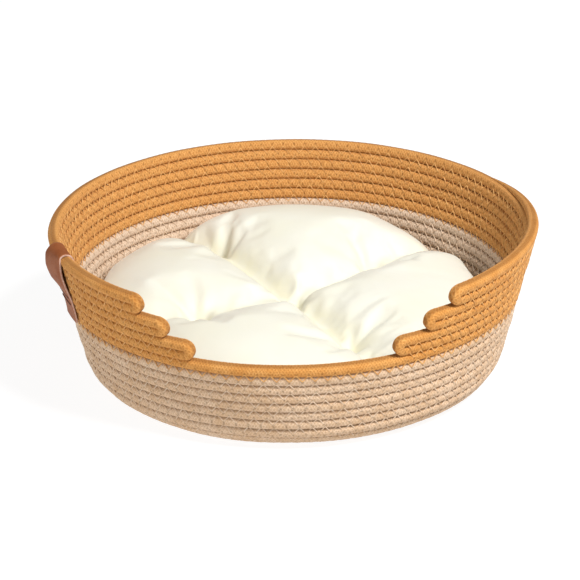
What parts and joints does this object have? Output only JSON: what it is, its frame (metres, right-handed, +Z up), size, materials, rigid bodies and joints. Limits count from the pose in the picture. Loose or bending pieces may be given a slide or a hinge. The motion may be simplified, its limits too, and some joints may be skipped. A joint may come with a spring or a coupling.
{
  "type": "pet bed basket",
  "caption": "Round coiled rope basket bed for a small pet, with a stepped front opening, a leather strap and a loose tufted cushion.",
  "frame": {"origin": "centre of the underside of the coiled base, on the surface the bed stands on", "axes": "+Z up along the axis of the round basket; the stepped opening faces -Y; the leather strap is on the -X side"},
  "size_m": [0.3946, 0.3819, 0.1317],
  "materials": {
    "natural_rope": "matt braided cotton",
    "caramel_rope": "matt braided cotton",
    "natural_sewing": "matt thread",
    "caramel_sewing": "matt thread",
    "strap_leather": "smooth satin leather",
    "strap_sewing": "waxed thread",
    "cushion_fabric": "smooth soft woven fabric with a light sheen",
    "cushion_wadding": "loose polyester wadding"
  },
  "bodies": {
    "basket": {"base_coil": "natural_rope", "natural_wall": "natural_rope", "caramel_wall": "caramel_rope", "base_thread": "natural_sewing", "natural_thread": "natural_sewing", "caramel_thread": "caramel_sewing", "leather_strap": "strap_leather", "strap_thread": "strap_sewing"},
    "cushion": {"cushion_bottom_panel": "cushion_fabric", "cushion_top_panel": "cushion_fabric", "cushion_filling": "cushion_wadding", "tuft_ties": "cushion_fabric"}
  },
  "joints": [
    {"name": "cushion_lift", "type": "slide", "parent": "basket", "child": "cushion", "axis": [0, 0, 1], "range_m": [0, 0.15]}
  ]
}
